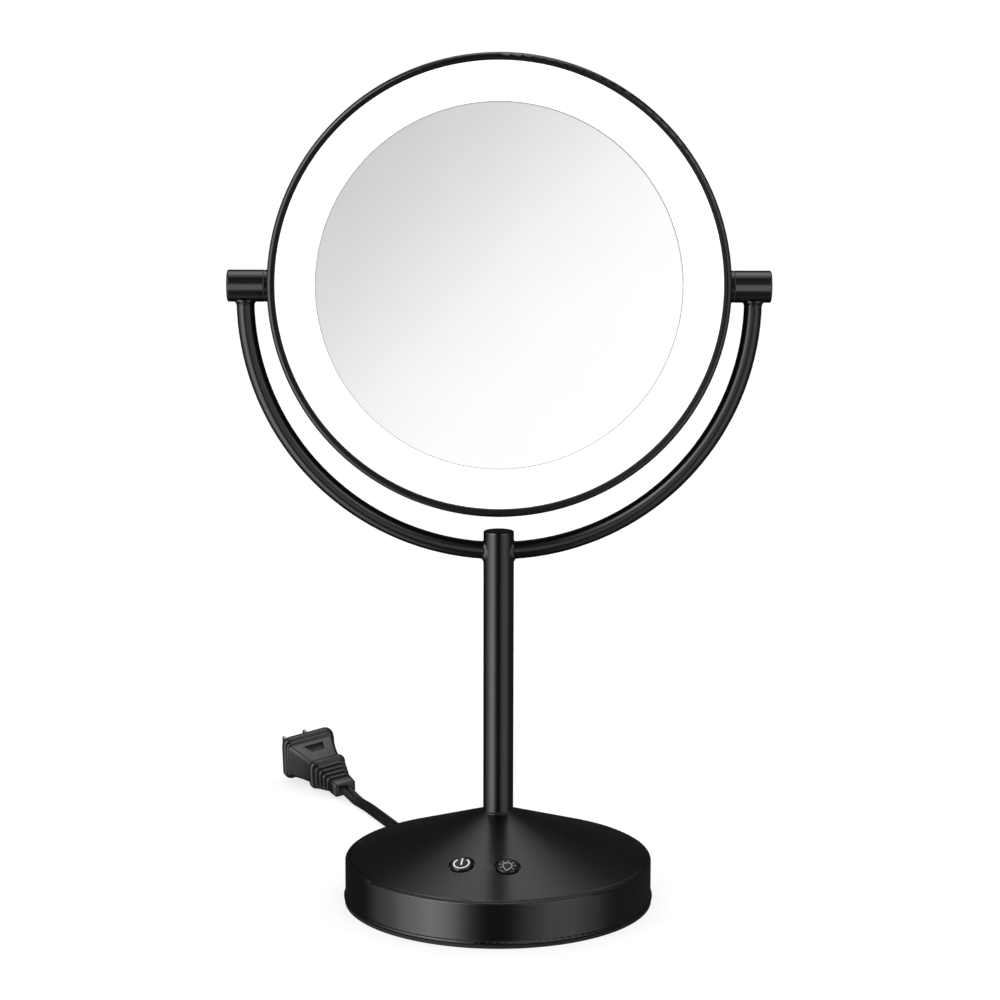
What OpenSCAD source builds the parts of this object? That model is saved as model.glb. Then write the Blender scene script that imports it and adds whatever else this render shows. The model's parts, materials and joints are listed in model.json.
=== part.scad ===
// Lighted vanity mirror on a weighted pedestal.
// A double-sided round mirror head turns on two horizontal pivots held by a half-round tube yoke.
// Origin: centre of the base's underside. +Z up, the flat mirror faces -Y, the buttons are at -Y.

/* [Head] */
// Outside diameter of the head ring
ring_d = 215.5; // [215.5:0.5:218]
// Thickness of the head, from face to face
head_t = 22; // [21:0.5:24]
// Diameter of both mirror glasses
glass_d = 170.8; // [169:0.2:171]
// Radius of curvature of the magnifying glass
magnifier_r = 1000; // [900:50:2000]
// Number of light-emitting diodes behind each diffuser
led_count = 48; // [24:4:60]

/* [Yoke and pivots] */
// Height of the pivot axis above the table
pivot_h = 296.9; // [290:0.1:320]
// Diameter of the pivot barrels
barrel_d = 15; // [14.6:0.1:15.2]
// Length of one pivot barrel with its cap
barrel_len = 17; // [17:0.5:20]
// Diameter of the hollow pivot shafts
shaft_d = 6; // [5.6:0.1:6]
// Diameter of the yoke tube
yoke_tube_d = 8.4; // [7.6:0.1:8.6]

/* [Post] */
// Diameter of the post
post_d = 14.5; // [13.8:0.1:14.8]
// Height of the post's flat top
post_top = 180.9; // [178:0.1:182]

/* [Base] */
// Diameter of the base at its straight skirt
base_d = 147.8; // [146:0.2:150]
// Height at which the cone of the base meets the post
cone_top = 44.3; // [42:0.1:45]
// Height of the shoulder where the cone meets the skirt
shoulder_h = 21.6; // [21:0.1:23]
// Wall thickness of the base cover
cover_t = 1.4; // [1.2:0.1:1.6]
// Turn of the base under the yoke, clockwise from above
base_turn = 7.9; // [0:0.1:20]

/* [Buttons] */
// Distance of the buttons from the post's axis, along the base radius
button_r = 47.2; // [44:0.2:50]
// Angle of each button to the front, about the post
button_angle = 13.2; // [12:0.2:20]
// Diameter of the button caps
button_d = 10.8; // [10:0.1:11]

/* [Cord and plug] */
// Direction in which the cord leaves the base, turned left from straight back
cord_angle = 34.4; // [20:0.2:50]
// Length of straight cord between its bend and the plug
cord_run = 46; // [20:1:200]
// Width of the plug's face flange
plug_w = 31; // [30:0.5:33]

/* [Hidden] */
$fn = 128;

black = [0.06, 0.06, 0.065];
gloss_black = [0.02, 0.02, 0.02];
steel = [0.7, 0.7, 0.72];
white = [0.95, 0.95, 0.95];
board_green = [0.1, 0.35, 0.2];
silvered = [0.82, 0.84, 0.86];

// Head stack, measured from the mid-plane outwards; the same stack is mirrored on the rear.
ring_r = ring_d / 2;
half_t = head_t / 2;
ring_wall = 2;
ring_round = 2;
ring_in = ring_r - ring_wall;
plate_t = 1.2;
ledge_in = ring_r - 6.5;
ledge_t = 1.3;
diffuser_z = half_t - 5.4;
diffuser_t = 2;
bezel_w = 1.6;
glass_r = glass_d / 2;
glass_t = 2;
glass_gap = 0.3;
front_glass_z = diffuser_z + 0.2;
tape_t = 0.5;
tape_in = glass_r - 3.4;
tape_out = glass_r - 1.4;
rear_glass_z = half_t - 3.2;
led_ring_r = ring_r - 14;
led_board_w = 8;
led_board_t = 1.2;
led_size = [3.5, 2.8, 0.8];
reflector_in = ring_r - 9.6;
screw_ring_r = ring_r - 4.4;
head_screw_count = 6;

// Pivot stack, measured along the pivot axis from the head's middle.
shaft_r = shaft_d / 2;
wire_bore_r = 1.4;
wire_r = 0.9;
running_gap = 0.05;
boss_r = 5.2;
boss_in = ring_r - 6.5;
boss_out = ring_r + 1.4;
washer_t = 0.6;
barrel_in = boss_out + washer_t;
barrel_out = barrel_in + barrel_len;
barrel_r = barrel_d / 2;
counterbore_r = 6;
counterbore_in = barrel_in + 7;
cap_t = 2.5;
cap_in = barrel_out - cap_t;
spigot_len = 2.5;
spring_t = 1.4;
nut_af = 9;
inner_nut_t = 2.9;
outer_nut_t = 2.6;
shaft_in = boss_in - inner_nut_t - 0.6;
shaft_out = counterbore_in + spring_t + outer_nut_t + 0.4;

// The yoke is a half torus whose ends turn up into the undersides of the barrels.
yoke_r = barrel_in + 8.7;
yoke_centre_h = pivot_h - 7;
yoke_tube_r = yoke_tube_d / 2;
yoke_bore_r = yoke_tube_r - 1.2;
yoke_low = yoke_centre_h - yoke_r;

// Post
post_r = post_d / 2;
post_wall = 1.2;
post_bottom = 28;
post_cap_h = 3;
post_cap_round = 0.6;

// Base
base_r = base_d / 2;
pad_t = 1.6;
plate_bottom = pad_t;
bottom_plate_t = 2;
plate_top = plate_bottom + bottom_plate_t;
pad_r = base_r + 0.3;
post_gap = 0.05;
shoulder_round = 1.6;
cone_foot_r = base_r - shoulder_round;
cone_slope = (cone_top - shoulder_h - 0.1) / (cone_foot_r - post_r);
cone_angle = atan(cone_slope);
cover_bottom = 1.7;
bead_h = 2.6;
bead_out = 0.7;
bead_round = 0.9;
groove_r = 0.35;
groove_at = cone_foot_r - 0.7;
post_nut_af = 22;
post_nut_t = 6;
bushing_out = 15;
weight_bottom = plate_top + 0.4;
weight_t = 8;
weight_top = weight_bottom + weight_t;
weight_r = base_r - 4;
cover_boss_ring = 60;
cover_boss_r = 3.5;
cover_pilot_r = 1.5;
screw_r = 1.45;
screw_head_r = 3;
screw_head_t = 1.4;
screw_len = 10;
weight_screw_ring = 30;

// Buttons, measured from the cone's surface along its normal
button_hole_r = button_d / 2 + 0.9;
cap_r = button_d / 2;
guide_bore_r = cap_r + 0.06;
guide_r = button_hole_r - 0.05;
guide_top = -1.1;
guide_floor = -6.5;
guide_floor_t = 1;
guide_bottom = -13;
guide_flange_r = 7.8;
guide_flange_z = -1.85;
cap_top = 0.6;
cap_bottom = -4.2;
dish_r = cap_r - 0.6;
dish_depth = 0.4;
icon_t = 0.12;
stem_r = 1.5;
stem_end = -8.9;
switch_top = -9.6;
switch_side = 6;
plunger_r = 1.7;
press_travel = 0.8;

// Driver board, on four posts over the weight
board_size = [30, 42, 1.6];
board_post_h = 2;
board_at = [28, -8, weight_top + board_post_h];
board_top = board_at[2] + board_size[2];

// Mains cord: two round conductors side by side, joined by a thin web
conductor_r = 1.8;
conductor_x = 1.7;
cord_z = conductor_r;
grommet_z = 14.2;
grommet_flange_r = 5;
grommet_neck_r = 4.4;
cord_in = base_r - 12;
cord_free = 3;
drop_r = 22;
drop_angle = acos(1 - (grommet_z - cord_z) / (2 * drop_r));
bend_r = 100;
bend_angle = 3;
// steps round each of the cord's two halves, and the angle kept clear of the web between them
cord_arc_points = 12;
web_angle = 3;

// Plug, measured from the cord end towards the blades
plug_angle = 7;
plug_tilt = 12.3;
plug_roll = 7.7;
plug_h = 25.6;
plug_len = 48.5;
plug_end_h = 8;
plug_lift_r = 40;
plug_clear = 1.1;
plug_lift = plug_end_h / 2 - cord_z + plug_clear;
plug_lift_run = (plug_lift - plug_lift_r * (1 - cos(plug_tilt))) / sin(plug_tilt);
blade_root = 5;
flange_t = 5;
blade_gap = 12.7;
blade_len = 17;
blade_t = 1.5;
blade_w = [6.3, 7.9];

// ---------- shared shapes ----------

// Places children in the head: X right, Y up, Z towards the flat mirror's side.
module at_head() { translate([0, 0, pivot_h]) rotate([90, 0, 0]) children(); }

// Places children on one pivot: Z runs outwards along the pivot axis from the head's middle.
module at_pivot(side) {
    translate([0, 0, pivot_h]) mirror([side < 0 ? 1 : 0, 0, 0]) rotate([0, 90, 0]) children();
}

// Draws children for the flat side, or mirrored for the magnifying side.
module on_face(front) { at_head() mirror([0, 0, front ? 0 : 1]) children(); }

// Flat ring from one radius to another, standing on height z.
module ring(inner, outer, z, t) {
    translate([0, 0, z]) difference() {
        cylinder(h = t, r = outer);
        translate([0, 0, -1]) cylinder(h = t + 2, r = inner);
    }
}

// Round bar between two points.
module rod(p, q, r) {
    d = q - p;
    translate(p) rotate([0, acos(d[2] / norm(d)), atan2(d[1], d[0])])
        cylinder(h = norm(d), r = r, $fn = 32);
}

// Wire along a list of points, with slightly larger ball corners.
module wire(points, r) {
    for (i = [1 : len(points) - 1]) rod(points[i - 1], points[i], r);
    for (i = [1 : len(points) - 2]) translate(points[i]) sphere(r = 1.12 * r, $fn = 32);
}

// Rectangle with round corners, centred.
module rounded_rect(w, h, r) {
    square([w - 2 * r, h], center = true);
    square([w, h - 2 * r], center = true);
    for (x = [-1, 1], y = [-1, 1]) translate([x * (w / 2 - r), y * (h / 2 - r)]) circle(r = r, $fn = 48);
}

// Straight stroke between two points.
module stroke(p, q, w) {
    d = q - p;
    translate(p) rotate(atan2(d[1], d[0])) translate([0, -w / 2]) square([norm(d), w]);
}

// Circular stroke from one angle to another, less than a full turn.
module arc_stroke(r, from, to, w) {
    reach = 2 * r;
    intersection() {
        difference() { circle(r = r + w / 2); circle(r = r - w / 2); }
        polygon(concat([[0, 0]], [for (i = [0 : 8]) let (a = from + (to - from) * i / 8)
            [reach * cos(a), reach * sin(a)]]));
    }
}

module hex_nut(af, t, hole_r) {
    difference() {
        cylinder(h = t, r = af / sqrt(3), $fn = 6);
        translate([0, 0, -1]) cylinder(h = t + 2, r = hole_r);
    }
}

// Cross-head screw with its head on -Z and its shank along +Z.
module screw(r, len, head_r, head_t) {
    difference() {
        union() {
            translate([0, 0, -head_t]) cylinder(h = head_t, r = head_r, $fn = 48);
            cylinder(h = len, r = r, $fn = 48);
        }
        for (a = [0, 90]) rotate(a) translate([-head_r * 0.6, -head_r * 0.12, -head_t - 1])
            cube([head_r * 1.2, head_r * 0.24, 1 + head_t / 2]);
    }
}

// ---------- head ----------

module head_ring() {
    color(black) difference() {
        union() {
            at_head() rotate_extrude() {
                translate([ring_in, -half_t + ring_round]) square([ring_wall, head_t - 2 * ring_round]);
                for (s = [-1, 1]) intersection() {
                    translate([ring_in, s * (half_t - ring_round)]) circle(r = ring_round);
                    translate([ring_in, s > 0 ? half_t - ring_round : -half_t])
                        square([ring_wall, ring_round]);
                }
                translate([ledge_in, -plate_t - ledge_t]) square([ring_in - ledge_in, ledge_t]);
            }
            for (side = [-1, 1]) at_pivot(side) {
                translate([0, 0, boss_in]) cylinder(h = ring_in + 1 - boss_in, r = boss_r);
                translate([0, 0, ring_in + 0.5]) cylinder(h = boss_out - ring_in - 0.5, r = barrel_r);
            }
        }
        for (side = [-1, 1]) at_pivot(side) {
            translate([0, 0, boss_in - 1]) cylinder(h = boss_out - boss_in + 2, r = shaft_r);
            translate([0, 0, shaft_in])
                cylinder(h = boss_in - shaft_in, r = nut_af / sqrt(3) + running_gap);
        }
        at_head() for (i = [0 : head_screw_count - 1]) rotate(30 + i * 360 / head_screw_count)
            translate([screw_ring_r, 0, -half_t]) cylinder(h = half_t, r = 1.25, $fn = 32);
    }
}

module bezel(front) {
    color(gloss_black) on_face(front) rotate_extrude() polygon([
        [ring_in - bezel_w, diffuser_z + diffuser_t], [ring_in, diffuser_z + diffuser_t],
        [ring_in, half_t], [ring_in - 0.4, half_t], [ring_in - bezel_w, half_t - 0.9]]);
}

module diffuser(front) {
    color(white) on_face(front) ring(glass_r + glass_gap, ring_in - 0.1, diffuser_z, diffuser_t);
}

module mirror_tape(front) {
    z = front ? front_glass_z - tape_t : rear_glass_z - glass_t - tape_t - 0.3;
    color(black) on_face(front) ring(tape_in, tape_out, z, tape_t);
}

module front_mirror() {
    color(silvered) on_face(true) translate([0, 0, front_glass_z]) cylinder(h = glass_t, r = glass_r);
}

// Slumped glass of even thickness, hollow towards the user, for magnification.
module rear_mirror() {
    rim_drop = magnifier_r - sqrt(pow(magnifier_r, 2) - pow(glass_r, 2));
    color(silvered) on_face(false) rotate_extrude() intersection() {
        translate([0, rear_glass_z - glass_t - rim_drop]) square([glass_r, glass_t + rim_drop]);
        translate([0, rear_glass_z + magnifier_r - rim_drop]) difference() {
            circle(r = magnifier_r + glass_t, $fn = 720);
            circle(r = magnifier_r, $fn = 720);
        }
    }
}

module centre_frame() {
    notch = 6;
    front_rib = front_glass_z - tape_t;
    rear_rib = rear_glass_z - glass_t - tape_t - 0.3;
    color(white) at_head() difference() {
        union() {
            translate([0, 0, -plate_t]) cylinder(h = 2 * plate_t, r = ring_in - 0.1);
            ring(tape_in, tape_out, 0, front_rib);
            ring(tape_in, tape_out, -rear_rib, rear_rib);
            ring(glass_r + 1.4, glass_r + 2.6, -diffuser_z, 2 * diffuser_z);
        }
        for (s = [-1, 1]) {
            translate([s * ring_r - 11, -notch, -half_t]) cube([22, 2 * notch, head_t]);
            translate([s * (ring_r - 15) - 8, -1.5, -plate_t - 1]) cube([16, 3, 2 * plate_t + 2]);
        }
        for (i = [0 : head_screw_count - 1]) rotate(30 + i * 360 / head_screw_count)
            translate([screw_ring_r, 0, -half_t]) cylinder(h = head_t, r = 1.4, $fn = 32);
    }
}

module led_board(front) {
    color(board_green) on_face(front)
        ring(led_ring_r - led_board_w / 2, led_ring_r + led_board_w / 2, plate_t, led_board_t);
}

module leds(front) {
    color("khaki") on_face(front) for (i = [0 : led_count - 1]) rotate((i + 0.5) * 360 / led_count)
        translate([led_ring_r, 0, plate_t + led_board_t + led_size[2] / 2]) cube(led_size, center = true);
}

// Sloped white ring that throws the light forwards; it is notched for the pivots.
module reflector(front) {
    skin = 0.7;
    color(white) on_face(front) difference() {
        rotate_extrude() polygon([
            [reflector_in, plate_t], [reflector_in + 0.6, plate_t], [ring_in - 0.4, diffuser_z - 0.6],
            [ring_in - 0.4, diffuser_z], [ring_in - 1.2, diffuser_z], [reflector_in, plate_t + skin]]);
        for (s = [-1, 1]) translate([s * ring_r - 12, -6, 0]) cube([24, 12, half_t]);
    }
}

module head_screws() {
    color(steel) at_head() for (i = [0 : head_screw_count - 1]) rotate(30 + i * 360 / head_screw_count)
        translate([screw_ring_r, 0, plate_t]) mirror([0, 0, 1])
            screw(1.25, 2 * plate_t + ledge_t, 2.1, 1.3);
}

module pivot_shaft(side) {
    color(steel) at_pivot(side) ring(wire_bore_r, shaft_r - running_gap, shaft_in, shaft_out - shaft_in);
}

module pivot_nuts() {
    color(steel) for (side = [-1, 1]) at_pivot(side) {
        translate([0, 0, boss_in - inner_nut_t]) rotate(30) hex_nut(nut_af, inner_nut_t, shaft_r);
        translate([0, 0, counterbore_in + spring_t]) rotate(30) hex_nut(nut_af, outer_nut_t, shaft_r);
    }
}

module head_wire() {
    color("red") at_pivot(-1) translate([0, 0, led_ring_r - 3])
        cylinder(h = shaft_out - led_ring_r, r = wire_r, $fn = 32);
}

// ---------- yoke and post ----------

module pivot_barrel(side) {
    color(black) difference() {
        at_pivot(side) difference() {
            translate([0, 0, barrel_in]) cylinder(h = cap_in - barrel_in, r = barrel_r);
            translate([0, 0, barrel_in - 1]) cylinder(h = barrel_len, r = shaft_r);
            translate([0, 0, counterbore_in]) cylinder(h = barrel_len, r = counterbore_r);
        }
        translate([side * yoke_r, 0, yoke_centre_h - 2]) cylinder(h = 7, r = wire_bore_r, $fn = 32);
    }
}

module barrel_cap(side) {
    round_r = 0.8;
    color(black) at_pivot(side) rotate_extrude() {
        translate([0, cap_in - spigot_len]) square([counterbore_r, spigot_len]);
        translate([0, cap_in]) square([barrel_r, cap_t - round_r]);
        translate([0, barrel_out - round_r]) square([barrel_r - round_r, round_r]);
        intersection() {
            translate([barrel_r - round_r, barrel_out - round_r]) circle(r = round_r);
            translate([barrel_r - round_r, barrel_out - round_r]) square(round_r);
        }
    }
}

module friction_washers() {
    color("dimgray") for (side = [-1, 1]) at_pivot(side) ring(shaft_r, barrel_r - 0.15, boss_out, washer_t);
}

module spring_washers() {
    color(steel) for (side = [-1, 1]) at_pivot(side) ring(shaft_r, 5, counterbore_in, spring_t);
}

// Half torus of the given tube radius, hanging below the yoke's centre.
module yoke_path(r, bore = 0) {
    translate([0, 0, yoke_centre_h]) rotate([90, 0, 0]) rotate(180) rotate_extrude(angle = 180)
        translate([yoke_r, 0]) difference() {
            circle(r = r, $fn = 48);
            if (bore > 0) circle(r = bore, $fn = 48);
        }
}

module yoke_tube() {
    riser = 1.2;
    color(black) difference() {
        union() {
            yoke_path(yoke_tube_r, yoke_bore_r);
            for (s = [-1, 1]) translate([s * yoke_r, 0, yoke_centre_h]) difference() {
                cylinder(h = riser, r = yoke_tube_r, $fn = 48);
                translate([0, 0, -1]) cylinder(h = riser + 2, r = yoke_bore_r, $fn = 48);
            }
        }
        for (side = [-1, 1]) at_pivot(side)
            translate([0, 0, barrel_in]) cylinder(h = barrel_len, r = barrel_r);
        translate([0, 0, yoke_low - yoke_tube_r - 1]) cylinder(h = yoke_tube_r + 1, r = 2, $fn = 32);
    }
}

module post_tube() {
    color(black) difference() {
        translate([0, 0, post_bottom]) cylinder(h = post_top - post_cap_h - post_bottom, r = post_r);
        translate([0, 0, post_bottom - 1]) cylinder(h = post_top, r = post_r - post_wall);
        yoke_path(yoke_tube_r);
    }
}

module post_cap() {
    plug_depth = 1.2;
    color(gloss_black) rotate_extrude() {
        translate([0, post_top - post_cap_h - plug_depth]) square([post_r - post_wall, plug_depth]);
        translate([0, post_top - post_cap_h]) square([post_r, post_cap_h - post_cap_round]);
        translate([0, post_top - post_cap_round]) square([post_r - post_cap_round, post_cap_round]);
        intersection() {
            translate([post_r - post_cap_round, post_top - post_cap_round]) circle(r = post_cap_round);
            translate([post_r - post_cap_round, post_top - post_cap_round]) square(post_cap_round);
        }
    }
}

// Wire from the base, up the post and round the left half of the yoke to the left barrel.
module stand_wire() {
    color("red") {
        translate([0, 0, weight_top + 3]) cylinder(h = yoke_low - weight_top - 3, r = wire_r, $fn = 32);
        translate([0, 0, yoke_centre_h]) rotate([90, 0, 0]) rotate(180) rotate_extrude(angle = 90)
            translate([yoke_r, 0]) circle(r = wire_r, $fn = 32);
        translate([-yoke_r, 0, yoke_centre_h]) cylinder(h = 1.6, r = wire_r, $fn = 32);
    }
}

// ---------- base ----------

// Places children in the base, which is turned on the post.
module at_base() { rotate([0, 0, -base_turn]) children(); }

function cone_z(r) = cone_top - (r - post_r) * cone_slope;

// Outline of the base cover's outside, from the axis to the skirt, moved inwards by a wall t.
module cover_outline(t) {
    drop = t / cos(cone_angle);
    shoulder = [cone_foot_r, cone_z(cone_foot_r) - 0.1 - shoulder_round];
    intersection() {
        union() {
            polygon([
                [0, cover_bottom], [0, cone_top - drop], [post_r, cone_top - drop],
                [cone_foot_r, cone_z(cone_foot_r) - drop], [cone_foot_r, cover_bottom]]);
            skirt_bottom = t == 0 ? bead_h : cover_bottom;
            translate([cone_foot_r, skirt_bottom]) square([shoulder_round - t, shoulder[1] - skirt_bottom]);
            translate(shoulder) circle(r = shoulder_round - t);
            if (t == 0) translate([base_r + bead_out - bead_round, bead_h]) circle(r = bead_round);
        }
        translate([0, cover_bottom]) square([base_r + bead_out, cone_top]);
    }
}

module cover_bosses() {
    for (i = [0 : 3]) rotate(45 + i * 90) translate([cover_boss_ring, 0, 0]) children();
}

module at_button(angle) {
    rotate([0, 0, angle]) translate([0, -button_r, cone_z(button_r)]) rotate([cone_angle, 0, 0]) children();
}

module base_cover() {
    color(black) difference() {
        union() {
            difference() {
                rotate_extrude() cover_outline(0);
                rotate_extrude() cover_outline(cover_t);
                cylinder(h = cover_bottom + 1, r = base_r - cover_t);
            }
            intersection() {
                cover_bosses() translate([0, 0, plate_top])
                    cylinder(h = cone_top, r = cover_boss_r, $fn = 48);
                rotate_extrude() cover_outline(cover_t / 2);
            }
        }
        cylinder(h = cone_top + 1, r = post_r + post_gap);
        rotate_extrude() translate([groove_at, cone_z(groove_at)]) circle(r = groove_r, $fn = 24);
        cover_bosses() cylinder(h = plate_top + 12, r = cover_pilot_r, $fn = 32);
        for (s = [-1, 1]) at_button(s * button_angle)
            translate([0, 0, -6]) cylinder(h = 12, r = button_hole_r);
        rotate([0, 0, cord_angle]) translate([0, base_r + 6, grommet_z]) rotate([90, 0, 0])
            cylinder(h = 12, r = grommet_neck_r);
    }
}

module post_bushing() {
    bottom = cone_z(bushing_out) - 3;
    drop = cover_t / cos(cone_angle) + 0.02;
    color(steel) rotate_extrude() polygon([
        [post_r + post_gap, bottom], [bushing_out, bottom],
        [bushing_out, cone_z(bushing_out) - drop], [post_r + post_gap, cone_z(post_r + post_gap) - drop]]);
}

module post_nut() {
    color(steel) translate([0, 0, cone_z(bushing_out) - 3 - post_nut_t])
        hex_nut(post_nut_af, post_nut_t, post_r + post_gap);
}

module base_weight() {
    color("dimgray") difference() {
        translate([0, 0, weight_bottom]) cylinder(h = weight_t, r = weight_r);
        translate([0, 0, weight_bottom - 1]) cylinder(h = weight_t + 2, r = 18);
        cover_bosses() cylinder(h = cone_top, r = cover_boss_r + 0.6, $fn = 48);
        for (i = [0 : 2]) rotate(i * 120) translate([weight_screw_ring, 0, 0])
            cylinder(h = weight_top - 2, r = screw_r, $fn = 32);
    }
}

module bottom_plate() {
    color("dimgray") difference() {
        translate([0, 0, plate_bottom]) cylinder(h = bottom_plate_t, r = base_r - cover_t - 0.1);
        cover_bosses() cylinder(h = cone_top, r = screw_r + 0.15, $fn = 32);
        for (i = [0 : 2]) rotate(i * 120) translate([weight_screw_ring, 0, 0])
            cylinder(h = cone_top, r = screw_r + 0.15, $fn = 32);
    }
}

module foot_pad() {
    color(gloss_black) difference() {
        cylinder(h = pad_t, r = pad_r);
        cover_bosses() translate([0, 0, -1]) cylinder(h = pad_t + 2, r = screw_head_r + 0.6, $fn = 48);
        for (i = [0 : 2]) rotate(i * 120) translate([weight_screw_ring, 0, -1])
            cylinder(h = pad_t + 2, r = screw_head_r + 0.6, $fn = 48);
    }
}

module base_screws() {
    color(steel) cover_bosses() translate([0, 0, plate_bottom])
        screw(screw_r, screw_len, screw_head_r, screw_head_t);
}

module weight_screws() {
    color(steel) for (i = [0 : 2]) rotate(i * 120) translate([weight_screw_ring, 0, plate_bottom])
        screw(screw_r, screw_len - 2, screw_head_r, screw_head_t);
}

// ---------- buttons ----------

module button_cap(angle) {
    color(gloss_black) at_button(angle) difference() {
        union() {
            translate([0, 0, cap_bottom]) cylinder(h = cap_top - cap_bottom, r = cap_r);
            translate([0, 0, stem_end]) cylinder(h = cap_bottom - stem_end + 0.5, r = stem_r, $fn = 48);
        }
        translate([0, 0, cap_top - dish_depth])
            cylinder(h = 2 * dish_depth, r1 = dish_r, r2 = 2 * cap_r - dish_r);
    }
}

// Inlay of an icon drawn by children, square to the base, lying on the floor of the cap's dish.
module button_icon(angle) {
    color(white) at_button(angle) translate([0, 0, cap_top - dish_depth]) linear_extrude(icon_t)
        rotate(-angle) children();
}

module power_mark() {
    line = 0.9;
    arc_stroke(3.7, 130, 410, line);
    stroke([0, -0.6], [0, 4.1], line);
}

module bulb_mark() {
    line = 0.4;
    bulb_r = 2.2;
    arc_stroke(bulb_r, -38, 218, line);
    for (s = [-1, 1]) stroke([s * 1.84, -1.22], [s * 0.12, -3.5], line);
    for (i = [-3 : 3]) rotate(i * 42) stroke([0, bulb_r + 1], [0, bulb_r + 2.3], line);
}

module plunger(angle) {
    color("saddlebrown") at_button(angle) translate([0, 0, switch_top - press_travel])
        cylinder(h = stem_end - switch_top + press_travel, r = plunger_r, $fn = 48);
}

module button_guide(angle) {
    color(gloss_black) at_button(angle) difference() {
        union() {
            translate([0, 0, guide_bottom]) cylinder(h = guide_top - guide_bottom, r = guide_r);
            translate([0, 0, guide_flange_z - 1.3]) cylinder(h = 1.3, r = guide_flange_r);
        }
        translate([0, 0, guide_floor]) cylinder(h = 10, r = guide_bore_r);
        translate([0, 0, guide_bottom]) cylinder(h = 10, r = stem_r + 0.08, $fn = 48);
        translate([0, 0, guide_bottom - 1])
            cylinder(h = guide_floor - guide_floor_t - guide_bottom + 1, r = cap_r - 0.4);
    }
}

module switch_body(angle) {
    color("dimgray") at_button(angle) difference() {
        translate([-switch_side / 2, -switch_side / 2, guide_bottom])
            cube([switch_side, switch_side, switch_top - guide_bottom]);
        translate([0, 0, switch_top - 2 * press_travel - 0.3])
            cylinder(h = 5, r = plunger_r + 0.06, $fn = 48);
    }
}

module switch_board(angle) {
    color(board_green) at_button(angle) translate([0, 0, guide_bottom - board_size[2]])
        cylinder(h = board_size[2], r = guide_r);
}

// ---------- electronics ----------

module driver_board() {
    color(board_green) translate(board_at) cube(board_size);
    inset = 3;
    color(white) for (x = [inset, board_size[0] - inset], y = [inset, board_size[1] - inset])
        translate([board_at[0] + x, board_at[1] + y, weight_top])
            cylinder(h = board_post_h, r = 2, $fn = 32);
}

module transformer() {
    color("gold") translate([board_at[0] + 3, board_at[1] + 22, board_top]) {
        cube([14, 12, 2]);
        translate([2, 1, 2]) cube([10, 10, 5]);
        translate([0, 0, 7]) cube([14, 12, 1.5]);
    }
}

module capacitors() {
    color("midnightblue") {
        translate([board_at[0] + 7, board_at[1] + 14, board_top]) cylinder(h = 9, r = 4, $fn = 48);
        translate([board_at[0] + 17, board_at[1] + 13, board_top]) cylinder(h = 7, r = 2.5, $fn = 48);
    }
}

module board_chips() {
    color(gloss_black) {
        translate([board_at[0] + 4, board_at[1] + 3, board_top]) cube([5, 4, 1.5]);
        translate([board_at[0] + 14, board_at[1] + 3, board_top]) cube([7, 4, 1.5]);
        translate([board_at[0] + 20, board_at[1] + 26, board_top]) cube([6, 4, 2]);
    }
}

module base_wires() {
    wire_z = board_top + 3;
    start = [board_at[0] + 23, board_at[1] + 12, board_top];
    color("red") {
        wire([start, [start[0], start[1], wire_z], [24, -16, wire_z], [16, -30, weight_top + 1.2],
            [12, -40, weight_top + 1.2]], 0.7);
        wire([[board_at[0] + 1, board_at[1] + 8, wire_z - 1], [16, 0, weight_top + 4.5],
            [wire_r + 0.7, 0, weight_top + 4.5]], 0.7);
    }
}

// ---------- cord and plug ----------

// Steps along the cord, as matrices that move on along +Y and then turn.
function shift(x, y, z) = [[1, 0, 0, x], [0, 1, 0, y], [0, 0, 1, z], [0, 0, 0, 1]];
function turn_z(a) = [[cos(a), -sin(a), 0, 0], [sin(a), cos(a), 0, 0], [0, 0, 1, 0], [0, 0, 0, 1]];
function turn_y(a) = [[cos(a), 0, sin(a), 0], [0, 1, 0, 0], [-sin(a), 0, cos(a), 0], [0, 0, 0, 1]];
function turn_x(a) = [[1, 0, 0, 0], [0, cos(a), -sin(a), 0], [0, sin(a), cos(a), 0], [0, 0, 0, 1]];

// A straight length, a twisted one, a level bend (left for a positive angle) and an upright bend (down).
function straight(len) = [shift(0, len, 0)];
function twisted(len, a, n) = [for (i = [1 : n]) shift(0, len / n, 0) * turn_y(a / n)];
function level_bend(r, a, n) = let (c = sign(a) * r)
    [for (i = [1 : n]) shift(-c, 0, 0) * turn_z(a / n) * shift(c, 0, 0)];
function upright_bend(r, a, n) = let (c = sign(a) * r)
    [for (i = [1 : n]) shift(0, 0, -c) * turn_x(-a / n) * shift(0, 0, c)];

cord_steps = concat(
    straight(base_r + cord_free - cord_in),
    upright_bend(drop_r, drop_angle, 8), upright_bend(drop_r, -drop_angle, 8),
    level_bend(bend_r, -bend_angle, 6), straight(cord_run),
    level_bend(bend_r, plug_angle, 6), upright_bend(plug_lift_r, -plug_tilt, 6),
    twisted(plug_lift_run, -plug_roll, 6));

// Frames at the ends of the steps, from inside the base to the plug.
cord_frames = [for (i = 0, m = turn_z(cord_angle) * shift(0, cord_in, grommet_z); i <= len(cord_steps);
    m = i < len(cord_steps) ? m * cord_steps[i] : m, i = i + 1) m];

// Outline across the cord: the outer arcs of two round conductors that meet in a groove.
groove_angle = acos(conductor_x / conductor_r) + web_angle;
cord_outline = [for (s = [1, -1], i = [0 : cord_arc_points])
    let (a = -180 + groove_angle + (360 - 2 * groove_angle) * i / cord_arc_points)
    s * [conductor_x + conductor_r * cos(a), conductor_r * sin(a)]];

function on_frame(m, p) = let (q = m * [p[0], 0, p[1], 1]) [q[0], q[1], q[2]];

// The last frame is the plug's own frame: Y runs from the cord towards the blades.
module at_plug() { multmatrix(cord_frames[len(cord_frames) - 1]) children(); }

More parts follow.
